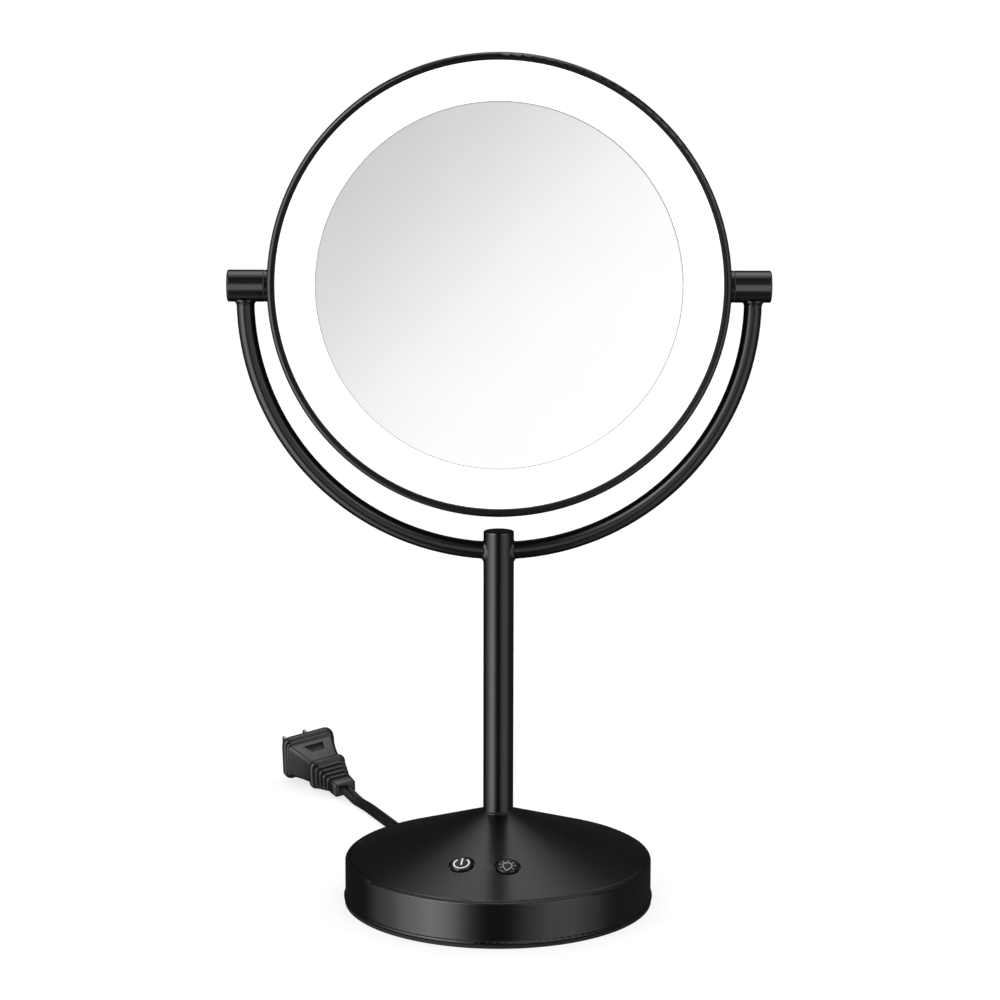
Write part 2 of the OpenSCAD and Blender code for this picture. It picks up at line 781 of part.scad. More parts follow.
module power_cord() {
    n = len(cord_outline);
    last = n * (len(cord_frames) - 1);
    color(black) polyhedron(
        points = [for (m = cord_frames, p = cord_outline) on_frame(m, p)],
        faces = concat(
            [[for (i = [0 : n - 1]) i]], [[for (i = [n - 1 : -1 : 0]) last + i]],
            [for (k = [0 : n : last - n], i = [0 : n - 1]) let (j = (i + 1) % n)
                [k + i, k + n + i, k + n + j, k + j]]));
}

module cord_grommet() {
    flange_round = 1.2;
    flange = 1.8;
    collar = 1.1;
    round_at = [grommet_flange_r - flange_round, flange - flange_round];
    color(black) rotate([0, 0, cord_angle])
        translate([0, base_r, grommet_z]) rotate([-90, 0, 0]) difference() {
        rotate_extrude() {
            square([grommet_flange_r, round_at[1]]);
            square([round_at[0], flange]);
            intersection() {
                translate(round_at) circle(r = flange_round);
                square([grommet_flange_r, flange]);
            }
            translate([0, -cover_t - collar - 0.3]) square([grommet_neck_r - 0.05, cover_t + collar + 0.3]);
            translate([0, -cover_t - collar - 0.3]) square([grommet_flange_r, collar]);
        }
        translate([0, 0, -5]) linear_extrude(10)
            rounded_rect(2 * (conductor_x + conductor_r) + 0.2, 2 * conductor_r + 0.2, conductor_r + 0.05);
    }
}

// Rounded slab of the plug, standing across the cord at distance y.
module plug_slab(y, t, w, h, r) {
    translate([0, y + t, 0]) rotate([90, 0, 0]) linear_extrude(t) rounded_rect(w, h, r);
}

module plug_body() {
    end_t = 7.5;
    collar = [21.5, 17];
    collar_y = 20.6;
    collar_t = 3.6;
    neck = [12, 9];
    rib_count = 4;
    rib_t = 1.6;
    rib_pitch = 3.1;
    rim_step = 1.6;
    color(black) at_plug() difference() {
        union() {
            plug_slab(0, end_t, 13, plug_end_h, 1.5);
            plug_slab(end_t - 0.5, collar_y - end_t + 1, neck[0], neck[1], 2);
            for (i = [0 : rib_count - 1])
                plug_slab(end_t + 1 + i * rib_pitch, rib_t, 14.2 + 1.5 * i, 9.8 + 1.5 * i, 2.6);
            plug_slab(collar_y, collar_t, collar[0], collar[1], 3.5);
            hull() {
                plug_slab(collar_y + collar_t - 0.5, 0.5, 18.5, 14, 2.5, $fn = 32);
                plug_slab(plug_len - flange_t, 0.5, 27, 19, 2.5, $fn = 32);
            }
            plug_slab(plug_len - flange_t, flange_t, plug_w - 2 * rim_step, plug_h - 2 * rim_step, 3);
            plug_slab(plug_len - flange_t + rim_step, flange_t - rim_step, plug_w, plug_h, 4);
        }
        for (i = [0, 1]) blade_box(i, 0.05, blade_len + blade_root);
    }
}

// Space of one blade, from its root inside the plug's face.
module blade_box(i, gap, len) {
    x = (i - 0.5) * blade_gap - blade_t / 2;
    translate([x - gap, plug_len - blade_root - gap, -blade_w[i] / 2 - gap])
        cube([blade_t + 2 * gap, len + gap, blade_w[i] + 2 * gap]);
}

module plug_blades() {
    tip_hole_r = 1.6;
    color(steel) at_plug() for (i = [0, 1]) difference() {
        blade_box(i, 0, blade_len + blade_root);
        translate([(i - 0.5) * blade_gap, plug_len + blade_len - 4.5, 0]) rotate([0, 90, 0])
            cylinder(h = 2 * blade_t, r = tip_hole_r, center = true, $fn = 32);
    }
}

// ---------- output ----------

head_ring();
bezel(true);  // front_bezel
bezel(false);  // rear_bezel
diffuser(true);  // front_diffuser
diffuser(false);  // rear_diffuser
front_mirror();
rear_mirror();
mirror_tape(true);  // front_mirror_tape
mirror_tape(false);  // rear_mirror_tape
centre_frame();
led_board(true);  // front_led_board
led_board(false);  // rear_led_board
leds(true);  // front_leds
leds(false);  // rear_leds
reflector(true);  // front_reflector
reflector(false);  // rear_reflector
head_screws();
pivot_shaft(-1);  // pivot_shaft_left
pivot_shaft(1);  // pivot_shaft_right
pivot_nuts();
head_wire();
pivot_barrel(-1);  // pivot_barrel_left
pivot_barrel(1);  // pivot_barrel_right
barrel_cap(-1);  // barrel_cap_left
barrel_cap(1);  // barrel_cap_right
friction_washers();
spring_washers();
yoke_tube();
post_tube();
post_cap();
stand_wire();
at_base() base_cover();
post_bushing();
post_nut();
at_base() base_weight();
at_base() bottom_plate();
at_base() foot_pad();
at_base() base_screws();
at_base() weight_screws();
at_base() button_cap(-button_angle);  // power_button_cap
at_base() button_icon(-button_angle) power_mark();  // power_icon
at_base() plunger(-button_angle);  // power_plunger
at_base() button_guide(-button_angle);  // power_guide
at_base() switch_body(-button_angle);  // power_switch
at_base() switch_board(-button_angle);  // power_switch_board
at_base() button_cap(button_angle);  // brightness_button_cap
at_base() button_icon(button_angle) bulb_mark();  // brightness_icon
at_base() plunger(button_angle);  // brightness_plunger
at_base() button_guide(button_angle);  // brightness_guide
at_base() switch_body(button_angle);  // brightness_switch
at_base() switch_board(button_angle);  // brightness_switch_board
at_base() driver_board();
at_base() transformer();
at_base() capacitors();
at_base() board_chips();
at_base() base_wires();
at_base() cord_grommet();
at_base() power_cord();
at_base() plug_body();
at_base() plug_blades();
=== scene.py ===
"""Looks of the lighted vanity mirror: materials, finer visible pieces, studio and camera."""
import json
import math

import bmesh
import bpy
from mathutils import Matrix, Quaternion, Vector


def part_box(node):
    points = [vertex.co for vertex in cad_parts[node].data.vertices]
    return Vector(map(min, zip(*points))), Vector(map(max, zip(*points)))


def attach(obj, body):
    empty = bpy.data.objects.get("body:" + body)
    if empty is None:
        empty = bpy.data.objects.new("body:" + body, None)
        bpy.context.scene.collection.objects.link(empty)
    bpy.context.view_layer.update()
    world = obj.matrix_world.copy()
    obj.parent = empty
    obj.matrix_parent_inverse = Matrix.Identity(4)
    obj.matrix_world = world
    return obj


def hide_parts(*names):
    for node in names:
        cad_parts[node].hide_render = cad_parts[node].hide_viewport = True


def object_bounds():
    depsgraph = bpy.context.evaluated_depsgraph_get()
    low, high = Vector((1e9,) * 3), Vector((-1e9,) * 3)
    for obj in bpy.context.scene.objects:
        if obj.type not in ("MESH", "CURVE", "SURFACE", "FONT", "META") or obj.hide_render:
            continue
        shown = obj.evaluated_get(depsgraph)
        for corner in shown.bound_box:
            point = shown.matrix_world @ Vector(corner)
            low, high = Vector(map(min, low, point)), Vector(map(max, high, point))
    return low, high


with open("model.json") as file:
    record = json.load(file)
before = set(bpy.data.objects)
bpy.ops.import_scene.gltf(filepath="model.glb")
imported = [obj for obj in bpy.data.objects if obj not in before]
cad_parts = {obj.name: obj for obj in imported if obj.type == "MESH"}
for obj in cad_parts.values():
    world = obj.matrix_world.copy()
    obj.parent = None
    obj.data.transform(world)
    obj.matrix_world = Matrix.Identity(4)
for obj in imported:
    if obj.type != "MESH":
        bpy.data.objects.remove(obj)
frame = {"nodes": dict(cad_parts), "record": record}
cad_box = [list(v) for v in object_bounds()]
nodes = frame["nodes"]
record = frame["record"]
MM = 0.001


# ---------- places taken from the CAD ----------

def lo(node):
    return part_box(node)[0]


def hi(node):
    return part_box(node)[1]


pivot = Vector((0, 0, (lo("head_ring").z + hi("head_ring").z) / 2))
barrel_r = (hi("pivot_barrel_left").z - lo("pivot_barrel_left").z) / 2
post_r = hi("post_tube").x
glass_r = hi("front_mirror").x
mounts = {m["name"]: m for m in record["mounts"]}


# ---------- node materials ----------

def new_material(name):
    mat = bpy.data.materials.new(name)
    mat.use_nodes = True
    tree = mat.node_tree
    shader = next(n for n in tree.nodes if n.type == "BSDF_PRINCIPLED")
    return mat, tree, shader


def link(tree, a, b):
    tree.links.new(a, b)


def coords(tree, scale=(1, 1, 1)):
    """Object coordinates in millimetres, stretched by scale."""
    source = tree.nodes.new("ShaderNodeTexCoord")
    mapping = tree.nodes.new("ShaderNodeMapping")
    mapping.inputs["Scale"].default_value = [1000 * s for s in scale]
    link(tree, source.outputs["Object"], mapping.inputs["Vector"])
    return mapping.outputs["Vector"]


def noise(tree, vector, scale, detail=2.0, rough=0.5):
    tex = tree.nodes.new("ShaderNodeTexNoise")
    tex.inputs["Scale"].default_value = scale
    tex.inputs["Detail"].default_value = detail
    tex.inputs["Roughness"].default_value = rough
    link(tree, vector, tex.inputs["Vector"])
    return tex.outputs["Fac"]


def remap(tree, value, a, b, low=0.3, high=0.7):
    node = tree.nodes.new("ShaderNodeMapRange")
    node.inputs["From Min"].default_value = low
    node.inputs["From Max"].default_value = high
    node.inputs["To Min"].default_value = a
    node.inputs["To Max"].default_value = b
    link(tree, value, node.inputs["Value"])
    return node.outputs["Result"]


def maths(tree, op, a, b=None, clamp=False):
    node = tree.nodes.new("ShaderNodeMath")
    node.operation = op
    node.use_clamp = clamp
    for i, v in enumerate((a, b)):
        if v is None:
            continue
        if isinstance(v, (int, float)):
            node.inputs[i].default_value = v
        else:
            link(tree, v, node.inputs[i])
    return node.outputs[0]


def ramp(tree, value, stops):
    node = tree.nodes.new("ShaderNodeValToRGB")
    elements = node.color_ramp.elements
    while len(elements) < len(stops):
        elements.new(0.5)
    for element, (at, colour) in zip(elements, stops):
        element.position = at
        element.color = (*colour, 1)
    link(tree, value, node.inputs["Fac"])
    return node.outputs["Color"]


def bump(tree, height, strength, distance):
    node = tree.nodes.new("ShaderNodeBump")
    node.inputs["Strength"].default_value = strength
    node.inputs["Distance"].default_value = distance
    link(tree, height, node.inputs["Height"])
    return node.outputs["Normal"]


def grained(name, dark, light, rough, rough_spread=0.04, grain=1.2, depth=0.01, metallic=0.0,
            stretch=(1, 1, 1), broad=0.03, specular=0.5, coat=0.0):
    """Fine grain in colour, roughness and relief, with a broad unevenness over it. grain is per mm."""
    mat, tree, shader = new_material(name)
    vector = coords(tree, stretch)
    fine = noise(tree, vector, grain, 3)
    wide = noise(tree, vector, broad, 2)
    mixed = maths(tree, "ADD", maths(tree, "MULTIPLY", fine, 0.6), maths(tree, "MULTIPLY", wide, 0.4))
    link(tree, ramp(tree, mixed, [(0.35, dark), (0.65, light)]), shader.inputs["Base Color"])
    link(tree, remap(tree, mixed, rough - rough_spread, rough + rough_spread), shader.inputs["Roughness"])
    link(tree, bump(tree, fine, 1.0, depth * MM), shader.inputs["Normal"])
    shader.inputs["Metallic"].default_value = metallic
    shader.inputs["Specular IOR Level"].default_value = specular
    shader.inputs["Coat Weight"].default_value = coat
    return mat


def grey(v):
    return (v, v, v * 1.02)


satin = grained("satin_black", grey(0.002), grey(0.0036), 0.23, 0.02, 1.6, 0.003)
gloss = grained("gloss_black", grey(0.003), grey(0.005), 0.14, 0.02, 0.6, 0.0015, coat=0.3)
bezel = grained("bezel_black", grey(0.002), grey(0.004), 0.55, 0.05, 1.2, 0.004, specular=0.12)
guide = grained("guide_black", grey(0.004), grey(0.007), 0.38, 0.05, 1.5, 0.006)
rubber = grained("foot_rubber", grey(0.004), grey(0.009), 0.65, 0.08, 2.2, 0.03, specular=0.3)
grommet = grained("grommet_rubber", grey(0.006), grey(0.012), 0.5, 0.06, 2.0, 0.02)
cord = grained("cord_pvc", grey(0.003), grey(0.006), 0.34, 0.05, 1.8, 0.008)
plug = grained("plug_pvc", grey(0.003), grey(0.006), 0.3, 0.05, 1.4, 0.012)
cap_black = grained("cap_black", grey(0.003), grey(0.006), 0.26, 0.03, 2.4, 0.006, specular=0.35)
brass = grained("blade_brass", (0.55, 0.55, 0.53), (0.75, 0.75, 0.72), 0.25, 0.06, 3.0, 0.002, 1.0,
                (1, 0.12, 1))
steel = grained("steel_hardware", (0.42, 0.42, 0.42), (0.62, 0.62, 0.61), 0.34, 0.08, 2.0, 0.003, 1.0)
shaft = grained("shaft_steel", (0.45, 0.45, 0.45), (0.6, 0.6, 0.59), 0.22, 0.05, 3.0, 0.003, 1.0, (0.2, 1, 1))
iron = grained("iron_weight", (0.03, 0.03, 0.03), (0.09, 0.085, 0.08), 0.62, 0.1, 0.9, 0.12, 0.6)
plate = grained("plate_steel", (0.2, 0.2, 0.2), (0.32, 0.32, 0.32), 0.4, 0.08, 1.5, 0.01, 0.9)
washer = grained("washer_plastic", grey(0.012), grey(0.02), 0.5, 0.05, 1.5, 0.01)
white_plastic = grained("white_plastic", (0.75, 0.75, 0.74), (0.85, 0.85, 0.84), 0.45, 0.05, 1.0, 0.01)
foam = grained("foam_tape", grey(0.02), grey(0.06), 0.85, 0.1, 3.0, 0.08)
wires = grained("wire_insulation", (0.45, 0.03, 0.02), (0.6, 0.06, 0.04), 0.45, 0.05, 1.5, 0.01)
switch_black = grained("switch_black", grey(0.01), grey(0.02), 0.5, 0.06, 2.0, 0.01)
plunger = grained("plunger_brown", (0.16, 0.07, 0.03), (0.22, 0.1, 0.05), 0.5, 0.06, 1.5, 0.01)
transformer = grained("transformer_yellow", (0.6, 0.42, 0.06), (0.75, 0.55, 0.1), 0.4, 0.08, 1.2, 0.02)
capacitor = grained("capacitor_blue", (0.02, 0.03, 0.12), (0.03, 0.05, 0.18), 0.25, 0.05, 1.0, 0.004)
phosphor = grained("led_phosphor", (0.8, 0.62, 0.12), (0.9, 0.75, 0.25), 0.3, 0.05, 3.0, 0.01)
icon_white = grained("icon_white", (0.82, 0.82, 0.82), (0.9, 0.9, 0.9), 0.5, 0.05, 3.0, 0.004)
icon_grey = grained("icon_grey", (0.5, 0.5, 0.5), (0.62, 0.62, 0.62), 0.5, 0.05, 3.0, 0.004)


def circuit_board():
    """Green solder resist with fine copper tracks under it."""
    mat, tree, shader = new_material("circuit_board")
    vector = coords(tree)
    tracks = tree.nodes.new("ShaderNodeTexBrick")
    tracks.inputs["Scale"].default_value = 0.35
    tracks.inputs["Mortar Size"].default_value = 0.06
    tracks.inputs["Color1"].default_value = (0.008, 0.1, 0.035, 1)
    tracks.inputs["Color2"].default_value = (0.01, 0.13, 0.045, 1)
    tracks.inputs["Mortar"].default_value = (0.04, 0.22, 0.08, 1)
    link(tree, vector, tracks.inputs["Vector"])
    link(tree, tracks.outputs["Color"], shader.inputs["Base Color"])
    link(tree, remap(tree, noise(tree, vector, 0.8), 0.3, 0.45), shader.inputs["Roughness"])
    link(tree, bump(tree, tracks.outputs["Fac"], 0.5, 0.03 * MM), shader.inputs["Normal"])
    return mat


def radius_from_pivot(tree):
    """Distance from the head's own axis, in millimetres."""
    vector = coords(tree)
    split = tree.nodes.new("ShaderNodeSeparateXYZ")
    link(tree, vector, split.inputs[0])
    z = maths(tree, "SUBTRACT", split.outputs["Z"], pivot.z / MM)
    x2 = maths(tree, "MULTIPLY", split.outputs["X"], split.outputs["X"])
    z2 = maths(tree, "MULTIPLY", z, z)
    return maths(tree, "SQRT", maths(tree, "ADD", x2, z2))


def lit_diffuser():
    """Opal acrylic, lit from behind: brightest mid-way, with painted shade that darkens it by its two rims."""
    mat, tree, shader = new_material("diffuser_white")
    r = radius_from_pivot(tree)
    bezel_lip = 1.4
    ring_out, ring_in = hi("front_bezel").x / MM - bezel_lip, glass_r / MM
    share = tree.nodes.new("ShaderNodeMapRange")
    share.inputs["From Min"].default_value = ring_in
    share.inputs["From Max"].default_value = ring_out
    link(tree, r, share.inputs["Value"])
    # painted shade: the emission colour falls off towards the glass and towards the bezel, standing in for their
    # shade on the diffuser
    glow = ramp(tree, share.outputs["Result"], [
        (0.0, (0.86, 0.86, 0.87)), (0.05, (1, 1, 1)), (0.9, (1, 1, 1)), (1.0, (0.72, 0.73, 0.74))])
    speck = remap(tree, noise(tree, coords(tree), 1.5, 2), 0.97, 1.0)
    shader.inputs["Base Color"].default_value = (0.85, 0.85, 0.85, 1)
    shader.inputs["Roughness"].default_value = 0.5
    link(tree, glow, shader.inputs["Emission Color"])
    link(tree, maths(tree, "MULTIPLY", speck, 1.05), shader.inputs["Emission Strength"])
    link(tree, bump(tree, noise(tree, coords(tree), 1.2, 2), 0.4, 0.01 * MM), shader.inputs["Normal"])
    return mat


def mirror_glass():
    """Silvered glass, very slightly uneven in tint, with a pale ground edge."""
    mat, tree, shader = new_material("mirror_glass")
    r = radius_from_pivot(tree)
    ground_edge = 0.45
    edge = maths(tree, "GREATER_THAN", r, glass_r / MM - ground_edge)
    link(tree, maths(tree, "MULTIPLY", edge, 0.5), shader.inputs["Roughness"])
    link(tree, maths(tree, "SUBTRACT", 1.0, edge), shader.inputs["Metallic"])
    tint = ramp(tree, noise(tree, coords(tree), 0.03, 3), [
        (0.3, (0.955, 0.96, 0.962)), (0.7, (0.97, 0.972, 0.974))])
    mix = tree.nodes.new("ShaderNodeMix")
    mix.data_type = "RGBA"
    link(tree, edge, mix.inputs["Factor"])
    link(tree, tint, mix.inputs[6])
    mix.inputs[7].default_value = (0.5, 0.52, 0.53, 1)
    link(tree, mix.outputs[2], shader.inputs["Base Color"])
    return mat


def spun_cap():
    """Satin wall under a polished rim and top, as a spun cap has."""
    rim_h, smoother = 0.6, 0.62
    mat = grained("spun_black", grey(0.002), grey(0.0036), 0.23, 0.02, 1.6, 0.003)
    tree = mat.node_tree
    shader = next(n for n in tree.nodes if n.type == "BSDF_PRINCIPLED")
    split = tree.nodes.new("ShaderNodeSeparateXYZ")
    link(tree, coords(tree), split.inputs[0])
    rim = maths(tree, "GREATER_THAN", split.outputs["Z"], hi("post_cap").z / MM - rim_h)
    keep = maths(tree, "SUBTRACT", 1.0, maths(tree, "MULTIPLY", rim, smoother))
    rough = shader.inputs["Roughness"].links[0].from_socket
    link(tree, maths(tree, "MULTIPLY", rough, keep), shader.inputs["Roughness"])
    shine = maths(tree, "ADD", maths(tree, "MULTIPLY", rim, 0.5), 0.5)
    link(tree, shine, shader.inputs["Specular IOR Level"])
    return mat


finish = {
    "satin_black_metal": satin, "gloss_black": gloss, "diffuser_white": lit_diffuser(),
    "mirror_glass": mirror_glass(), "foam_tape": foam, "white_plastic": white_plastic,
    "circuit_board": circuit_board(), "led_phosphor": phosphor, "steel_hardware": steel,
    "shaft_steel": shaft, "washer_plastic": washer, "wire_insulation": wires,
    "iron_weight": iron, "plate_steel": plate, "foot_rubber": rubber, "icon_white": icon_white,
    "icon_grey": icon_grey, "guide_black": guide, "switch_black": switch_black,
    "plunger_brown": plunger, "transformer_yellow": transformer, "capacitor_blue": capacitor,
    "grommet_rubber": grommet, "cord_pvc": cord, "plug_pvc": plug, "blade_brass": brass,
}
slot_of = {part["node"]: part["material_slot"] for part in record["subparts"]}
for name, obj in nodes.items():
    obj.data.materials.clear()
    obj.data.materials.append(finish[slot_of[name]])
for name in ("front_bezel", "rear_bezel"):
    nodes[name].data.materials[0] = bezel
nodes["post_cap"].data.materials[0] = spun_cap()

# ---------- finer pieces ----------

def add_piece(name, verts, faces, body, material, smooth=True, sharp=38):
    mesh = bpy.data.meshes.new(name)
    mesh.from_pydata([tuple(v) for v in verts], [], faces)
    mesh.validate()
    bm = bmesh.new()
    bm.from_mesh(mesh)
    bmesh.ops.recalc_face_normals(bm, faces=bm.faces)
    if smooth:
        for face in bm.faces:
            face.smooth = True
        for edge in bm.edges:
            if len(edge.link_faces) == 2 and edge.calc_face_angle(0) > math.radians(sharp):
                edge.smooth = False
    bm.to_mesh(mesh)
    bm.free()
    mesh.materials.append(material)
    obj = bpy.data.objects.new(name, mesh)
    bpy.context.scene.collection.objects.link(obj)
    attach(obj, body)
    return obj


def rounded_outline(w, h, r, corner=7):
    """Points round a rounded rectangle in X and Z, the same number for every size."""
    r = min(r, w / 2 - 0.01, h / 2 - 0.01)
    points = []
    for quarter, (sx, sz) in enumerate(((1, 1), (-1, 1), (-1, -1), (1, -1))):
        for i in range(corner + 1):
            a = math.radians(90 * (quarter + i / corner))
            points.append((sx * (w / 2 - r) + r * math.cos(a), sz * (h / 2 - r) + r * math.sin(a)))
    return points


def loft(sections, place, outline=rounded_outline):
    """Closed skin through sections (y, width, height, corner radius) in millimetres, moved by place."""
    verts, faces = [], []
    for y, w, h, r in sections:
        verts += [place @ Vector((x * MM, y * MM, z * MM)) for x, z in outline(w, h, r)]
    n = len(verts) // len(sections)
    for k in range(len(sections) - 1):
        for i in range(n):
            j = (i + 1) % n
            faces.append((k * n + i, k * n + j, (k + 1) * n + j, (k + 1) * n + i))
    faces.append(tuple(range(n - 1, -1, -1)))
    faces.append(tuple(range((len(sections) - 1) * n, len(sections) * n)))
    return verts, faces


def lathe(section, place, turns=96):
    """Solid turned about local Z from a half section (radius, z), in millimetres, with both ends on the axis."""
    inner = section[1:-1]
    verts = [place @ Vector((0, 0, section[0][1] * MM)), place @ Vector((0, 0, section[-1][1] * MM))]
    for k in range(turns):
        a = 2 * math.pi * k / turns
        verts += [place @ Vector((r * math.cos(a) * MM, r * math.sin(a) * MM, z * MM)) for r, z in inner]
    n, faces = len(inner), []
    for k in range(turns):
        p, q = 2 + k * n, 2 + (k + 1) % turns * n
        faces.append((0, q, p))
        faces.append((1, p + n - 1, q + n - 1))
        faces += [(p + i, q + i, q + i + 1, p + i + 1) for i in range(n - 1)]
    return verts, faces


def stroke(points, width, place, floor_z, thickness):
    """Raised line through 2-D points with round ends, standing on floor_z, in millimetres."""
    points = [Vector(p) for p in points]
    half = width / 2
    left, right = [], []
    for i, p in enumerate(points):
        d = (points[min(i + 1, len(points) - 1)] - points[max(i - 1, 0)]).normalized()
        side = Vector((-d.y, d.x)) * half
        left.append(p + side)
        right.append(p - side)

    def cap(centre, start):
        a = math.atan2(start.y, start.x)
        return [centre + half * Vector((math.cos(a - math.pi * k / 8), math.sin(a - math.pi * k / 8)))
                for k in range(1, 8)]

    end = cap(points[-1], left[-1] - points[-1])
    begin = cap(points[0], right[0] - points[0])
    m = len(left)
    rim = left + end + right[::-1] + begin
    n = len(rim)
    verts = [place @ Vector((p.x * MM, p.y * MM, z * MM))
             for z in (floor_z, floor_z + thickness) for p in rim]
    faces = []
    for base in (0, n):
        rights = [base + m + 7 + (m - 1 - i) for i in range(m)]
        faces += [(base + i, base + i + 1, rights[i + 1], rights[i]) for i in range(m - 1)]
        faces.append(tuple([base + m - 1] + [base + m + k for k in range(7)] + [rights[-1]]))
        faces.append(tuple([rights[0]] + [base + 2 * m + 7 + k for k in range(7)] + [base]))
    faces += [(i, (i + 1) % n, n + (i + 1) % n, n + i) for i in range(n)]
    return verts, faces


def arc(r, start, stop, steps=40, centre=(0, 0)):
    return [(centre[0] + r * math.cos(math.radians(start + (stop - start) * i / steps)),
             centre[1] + r * math.sin(math.radians(start + (stop - start) * i / steps)))
            for i in range(steps + 1)]


joints = {j["name"]: j for j in record["behaviour"]["joints"]}
# the base is turned on its post; the two buttons lie to either side of its front
base_front = -(Vector(joints["power_press"]["axis"]) + Vector(joints["brightness_press"]["axis"]))
base_front.z = 0
base_front.normalize()
base_x = Vector((-base_front.y, base_front.x, 0))


def button_place(node, joint):
    """A cap's frame (origin on its top, Z along its axis, X to the right from the front), radius and height."""
    n = -Vector(joints[joint]["axis"]).normalized()
    a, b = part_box(node)
    size, centre = b - a, (a + b) / 2
    # width and depth of a leaning disc of radius r and thickness h
    kx, ky = 2 * math.sqrt(1 - n.x ** 2), 2 * math.sqrt(1 - n.y ** 2)
    det = kx * abs(n.y) - ky * abs(n.x)
    r = (size.x * abs(n.y) - size.y * abs(n.x)) / det
    h = (kx * size.y - ky * size.x) / det
    top = Vector((centre.x + h * n.x / 2, centre.y + h * n.y / 2, b.z - r * math.sqrt(1 - n.z ** 2)))
    x = (base_x - n * n.dot(base_x)).normalized()
    y = n.cross(x)
    place = Matrix((x, y, n)).transposed().to_4x4()
    place.translation = top
    return place, r / MM, h / MM


def button(kind, body):
    """Cap with a soft rim round a shallow dish; returns its frame and the dish's depth."""
    node = kind + "_button_cap"
    place, r, h = button_place(node, kind + "_press")
    # the crowned rim stands a little above the CAD disc, and the dish lies below the rim
    crown, dish = 0.5, 0.42
    place = place @ Matrix.Translation((0, 0, crown * MM))
    h += crown
    section = [(0, -h), (r - 0.3, -h), (r - 0.05, -h + 0.3), (r - 0.05, -1.35), (r - 0.08, -0.95),
               (r - 0.18, -0.55), (r - 0.36, -0.24), (r - 0.6, -0.05), (r - 0.8, 0.02), (r - 0.95, 0.0),
               (r - 1.1, -0.1), (r - 1.3, -0.22), (r - 1.7, -0.33), (r - 2.6, -0.39), (0, -dish)]
    cap = add_piece(kind + "_cap_dished", *lathe(section, place), body, cap_black)
    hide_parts(node)
    return place, dish


def joined(parts):
    verts, faces = [], []
    for v, f in parts:
        faces += [tuple(i + len(verts) for i in face) for face in f]
        verts += v
    return verts, faces


sunk = 0.05  # how far the marks reach into the dish
place, dish = button("power", "power_button")
mark = joined([stroke(arc(3.65, 134, 406), 0.85, place, -dish - sunk, 0.22),
               stroke([(0, -0.9), (0, 4.6)], 0.72, place, -dish - sunk, 0.24)])
icon = add_piece("power_mark", *mark, "power_button", icon_white, smooth=False)
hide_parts("power_icon")

place, dish = button("brightness", "brightness_button")
pear = [(-0.42, -3.75), (-0.62, -3.0), (-1.75, -1.5)] + arc(2.15, 214, -34, 30)[1:-1] + [
    (1.75, -1.5), (0.62, -3.0), (0.42, -3.75)]
parts = [stroke(pear, 0.27, place, -dish - sunk, 0.2),
         stroke([(-0.42, -3.8), (0.42, -3.8)], 0.36, place, -dish - sunk, 0.21)]
for i in range(-3, 4):
    a = math.radians(90 + 42 * i)
    parts.append(stroke([(3.2 * math.cos(a), 3.2 * math.sin(a)), (4.25 * math.cos(a), 4.25 * math.sin(a))],
                        0.26, place, -dish - sunk, 0.2))
icon = add_piece("bulb_mark", *joined(parts), "brightness_button", icon_grey, smooth=False)
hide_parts("brightness_icon")


yoke_r = (hi("yoke_tube").x - lo("yoke_tube").x) / 2
yoke_tube_r = hi("yoke_tube").y
yoke_mid_r = yoke_r - yoke_tube_r
yoke_centre = Vector((0, 0, lo("yoke_tube").z + yoke_r))


def weld_fillet(side):
    """Concave weld where the yoke runs into the post: a flared skirt round the tube, up to the post's wall."""
    turns, rings, reach = 48, 9, 1.3 * MM
    skin, bite = 0.03 * MM, 0.1 * MM  # how far it lies over the tube, and into the post
    verts, faces = [], []
    for k in range(rings):
        t = k / (rings - 1)
        flare = reach * (1 - math.sqrt(1 - (1 - t) ** 2)) + skin
        away = reach * t
        for i in range(turns):
            a = 2 * math.pi * i / turns
            # the post's wall curves away from the tube's sides
            radius = yoke_tube_r + flare
            depth = math.sin(a) * radius
            wall = math.sqrt(max(post_r ** 2 - depth ** 2, 0)) - bite
            x = wall + away
            angle = math.asin(min(x / yoke_mid_r, 1))
            r = yoke_mid_r + math.cos(a) * radius
            verts.append((side * math.sin(angle) * r, depth, yoke_centre.z - math.cos(angle) * r))
    for k in range(rings - 1):
        for i in range(turns):
            j = (i + 1) % turns
            faces.append((k * turns + i, k * turns + j, (k + 1) * turns + j, (k + 1) * turns + i))
    faces.append(tuple(range(turns)))
    faces.append(tuple(range((rings - 1) * turns, rings * turns)))
    obj = add_piece("weld_left" if side < 0 else "weld_right", verts, faces, "stand", satin, sharp=70)


def barrel_collar(side):
    """Small flared foot where the yoke's end enters the underside of a barrel."""
    low = 1.5
    place = Matrix.Translation((side * yoke_mid_r, 0, pivot.z - barrel_r))
    t = yoke_tube_r / MM
    section = [(0, 1.2), (t + 1.0, 1.2), (t + 1.0, 0.35), (t + 0.75, 0.0), (t + 0.4, -0.45),
               (t + 0.15, -0.95), (t + 0.03, -low), (0, -low)]
    name = "barrel_foot_left" if side < 0 else "barrel_foot_right"
    obj = add_piece(name, *lathe(section, place, 64), "stand", satin, sharp=60)


def post_foot():
    """Turned ring where the post stands in the cone of the base."""
    t = post_r / MM
    z = hi("base_cover").z / MM
    section = [(0, z - 1.2), (t + 1.2, z - 1.2), (t + 1.2, z - 0.35), (t + 1.05, z - 0.1),
               (t + 0.8, z + 0.05), (t + 0.5, z + 0.12), (t + 0.25, z + 0.3), (t + 0.03, z + 0.7), (0, z + 0.7)]
    obj = add_piece("post_foot_ring", *lathe(section, Matrix.Identity(4)), "stand", satin, sharp=60)


for side in (-1, 1):
    weld_fillet(side)
    barrel_collar(side)
post_foot()


